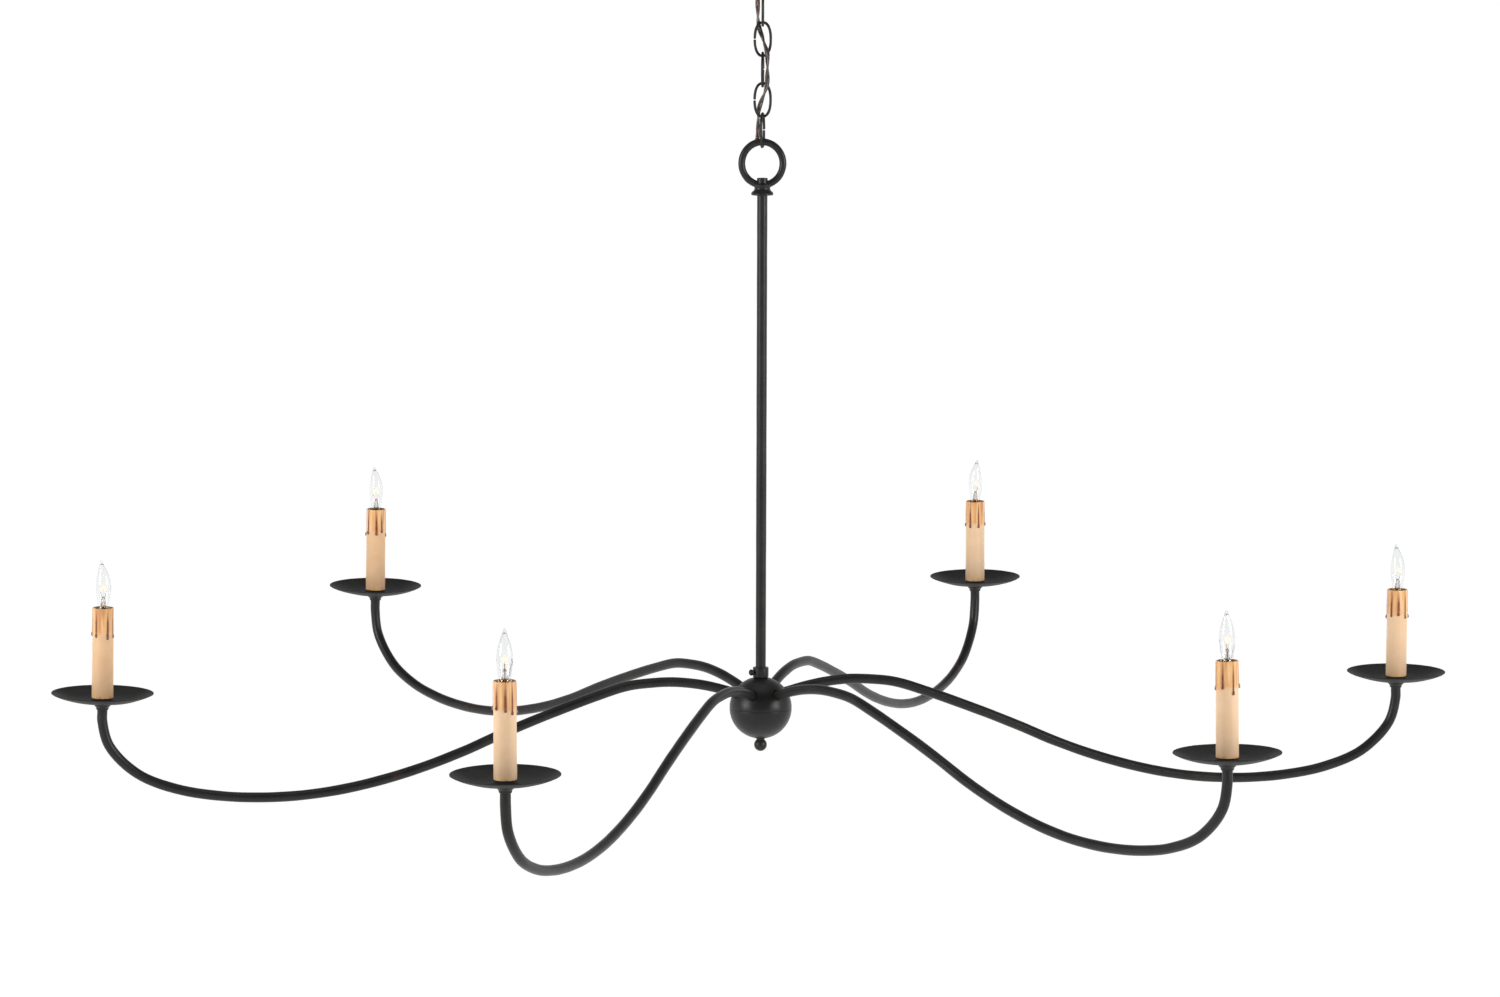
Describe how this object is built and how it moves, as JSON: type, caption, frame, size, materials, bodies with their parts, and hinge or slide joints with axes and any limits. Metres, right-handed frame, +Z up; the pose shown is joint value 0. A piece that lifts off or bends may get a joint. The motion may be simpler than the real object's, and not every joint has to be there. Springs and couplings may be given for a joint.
{
  "type": "multi arm chandelier",
  "caption": "Chandelier with long curved iron arms round a ball hub, a drip pan and electric candle on each, hung by a stem, ring and chain from a ceiling canopy.",
  "frame": {"origin": "centre of the face that lies against the ceiling, on the hub's axis", "axes": "+Z up into the ceiling; +X to the right and +Y away from the viewer when the top loop is seen face on"},
  "size_m": [1.5349, 1.4597, 0.9424],
  "materials": {
    "iron": "hand-forged charcoal black, satin, faint warm rub-through",
    "steel": "zinc-plated, dull",
    "candle_sleeve": "ivory to amber resin with darker wax drips",
    "socket": "moulded phenolic",
    "bulb_glass": "clear, with a lit warm filament",
    "cord": "translucent brown, twisted",
    "wire": "plain insulation"
  },
  "bodies": {
    "ceiling_mount": {"crossbar": "steel", "nipple": "steel", "nipple_nut": "steel", "hang_loop": "iron", "supply_cord": "cord"},
    "canopy": {"canopy": "iron"},
    "canopy_ring": {"canopy_ring": "iron"},
    "link_5": {"chain_link_5": "iron"},
    "link_4": {"chain_link_4": "iron"},
    "link_3": {"chain_link_3": "iron"},
    "link_2": {"chain_link_2": "iron"},
    "link_1": {"chain_link_1": "iron"},
    "fixture": {"top_loop": "iron", "stem": "iron", "stem_collar": "iron", "hub_upper_shell": "iron", "cluster_body": "steel", "cluster_cap": "steel", "tie_rod": "steel", "wire_harness": "wire", "arm_1": "iron", "pan_cup_1": "iron", "drip_pan_1": "iron", "lamp_socket_1": "socket", "arm_2": "iron", "pan_cup_2": "iron", "drip_pan_2": "iron", "lamp_socket_2": "socket", "arm_3": "iron", "pan_cup_3": "iron", "drip_pan_3": "iron", "lamp_socket_3": "socket", "arm_4": "iron", "pan_cup_4": "iron", "drip_pan_4": "iron", "lamp_socket_4": "socket", "arm_5": "iron", "pan_cup_5": "iron", "drip_pan_5": "iron", "lamp_socket_5": "socket", "arm_6": "iron", "pan_cup_6": "iron", "drip_pan_6": "iron", "lamp_socket_6": "socket"},
    "hub_lower_shell": {"hub_lower_shell": "iron"},
    "finial": {"finial": "iron"},
    "set_screw": {"set_screw": "iron"},
    "sleeve_1": {"candle_sleeve_1": "candle_sleeve"},
    "lamp_1": {"bulb_1": "bulb_glass"},
    "sleeve_2": {"candle_sleeve_2": "candle_sleeve"},
    "lamp_2": {"bulb_2": "bulb_glass"},
    "sleeve_3": {"candle_sleeve_3": "candle_sleeve"},
    "lamp_3": {"bulb_3": "bulb_glass"},
    "sleeve_4": {"candle_sleeve_4": "candle_sleeve"},
    "lamp_4": {"bulb_4": "bulb_glass"},
    "sleeve_5": {"candle_sleeve_5": "candle_sleeve"},
    "lamp_5": {"bulb_5": "bulb_glass"},
    "sleeve_6": {"candle_sleeve_6": "candle_sleeve"},
    "lamp_6": {"bulb_6": "bulb_glass"}
  },
  "joints": [
    {"name": "chain_swing_5", "type": "hinge", "parent": "ceiling_mount", "child": "link_5", "pos_m": [0, 0, -0.06155], "axis": [1, 0, 0], "range_deg": [-20, 20], "deforming": ["supply_cord"]},
    {"name": "chain_swing_4", "type": "hinge", "parent": "link_5", "child": "link_4", "pos_m": [0, 0, -0.0938], "axis": [0, 1, 0], "range_deg": [-20, 20], "deforming": ["supply_cord"]},
    {"name": "chain_swing_3", "type": "hinge", "parent": "link_4", "child": "link_3", "pos_m": [0, 0, -0.1268], "axis": [1, 0, 0], "range_deg": [-20, 20], "deforming": ["supply_cord"]},
    {"name": "chain_swing_2", "type": "hinge", "parent": "link_3", "child": "link_2", "pos_m": [0, 0, -0.1598], "axis": [0, 1, 0], "range_deg": [-20, 20], "deforming": ["supply_cord"]},
    {"name": "chain_swing_1", "type": "hinge", "parent": "link_2", "child": "link_1", "pos_m": [0, 0, -0.1928], "axis": [1, 0, 0], "range_deg": [-20, 20], "deforming": ["supply_cord"]},
    {"name": "fixture_swing", "type": "hinge", "parent": "link_1", "child": "fixture", "pos_m": [0, 0, -0.2258], "axis": [0, 1, 0], "range_deg": [-20, 20], "deforming": ["supply_cord"]},
    {"name": "canopy_drop", "type": "slide", "parent": "ceiling_mount", "child": "canopy", "axis": [0, 0, -1], "range_m": [0, 0.006]},
    {"name": "canopy_ring_turn", "type": "hinge", "parent": "canopy", "child": "canopy_ring", "pos_m": [0, 0, -0.032], "axis": [0, 0, -1], "range_deg": [0, 1441]},
    {"name": "lower_shell_drop", "type": "slide", "parent": "fixture", "child": "hub_lower_shell", "axis": [0, 0, -1], "range_m": [0, 0.008]},
    {"name": "finial_turn", "type": "hinge", "parent": "hub_lower_shell", "child": "finial", "pos_m": [0, 0, -0.8865], "axis": [0, 0, -1], "range_deg": [0, 2881]},
    {"name": "set_screw_turn", "type": "hinge", "parent": "fixture", "child": "set_screw", "pos_m": [-0.00883, -0.0047, -0.805], "axis": [-0.8829, -0.4695, 0], "range_deg": [0, 1080]},
    {"name": "sleeve_lift_1", "type": "slide", "parent": "fixture", "child": "sleeve_1", "axis": [0, 0, 1], "range_m": [0, 0.155]},
    {"name": "sleeve_lift_2", "type": "slide", "parent": "fixture", "child": "sleeve_2", "axis": [-0.0057, -0.0146, 0.9999], "range_m": [0, 0.155]},
    {"name": "sleeve_lift_3", "type": "slide", "parent": "fixture", "child": "sleeve_3", "axis": [0.0157, -0.0187, 0.9997], "range_m": [0, 0.155]},
    {"name": "sleeve_lift_4", "type": "slide", "parent": "fixture", "child": "sleeve_4", "axis": [0.0206, 0.004, 0.9998], "range_m": [0, 0.155]},
    {"name": "sleeve_lift_5", "type": "slide", "parent": "fixture", "child": "sleeve_5", "axis": [-0.003, -0.0082, 1], "range_m": [0, 0.155]},
    {"name": "sleeve_lift_6", "type": "slide", "parent": "fixture", "child": "sleeve_6", "axis": [-0.0146, 0.0173, 0.9997], "range_m": [0, 0.155]},
    {"name": "bulb_turn_1", "type": "hinge", "parent": "fixture", "child": "lamp_1", "pos_m": [0.71476, 0.11282, -0.82345], "axis": [0, 0, 1], "range_deg": [0, 1080]},
    {"name": "bulb_turn_2", "type": "hinge", "parent": "fixture", "child": "lamp_2", "pos_m": [0.2639, 0.67306, -0.79679], "axis": [-0.0057, -0.0146, 0.9999], "range_deg": [0, 1080]},
    {"name": "bulb_turn_3", "type": "hinge", "parent": "fixture", "child": "lamp_3", "pos_m": [-0.46343, 0.55465, -0.79316], "axis": [0.0157, -0.0187, 0.9997], "range_deg": [0, 1080]},
    {"name": "bulb_turn_4", "type": "hinge", "parent": "fixture", "child": "lamp_4", "pos_m": [-0.71015, -0.13804, -0.81133], "axis": [0.0206, 0.004, 0.9998], "range_deg": [0, 1080]},
    {"name": "bulb_turn_5", "type": "hinge", "parent": "fixture", "child": "lamp_5", "pos_m": [-0.25124, -0.6781, -0.80163], "axis": [-0.003, -0.0082, 1], "range_deg": [0, 1080]},
    {"name": "bulb_turn_6", "type": "hinge", "parent": "fixture", "child": "lamp_6", "pos_m": [0.46691, -0.55212, -0.79982], "axis": [-0.0146, 0.0173, 0.9997], "range_deg": [0, 1080]}
  ],
  "couplings": [
    {"joint": "canopy_ring_turn", "follows": "canopy_drop", "rad_per_m": 4188.8},
    {"joint": "finial_turn", "follows": "lower_shell_drop", "rad_per_m": 6283.2}
  ]
}
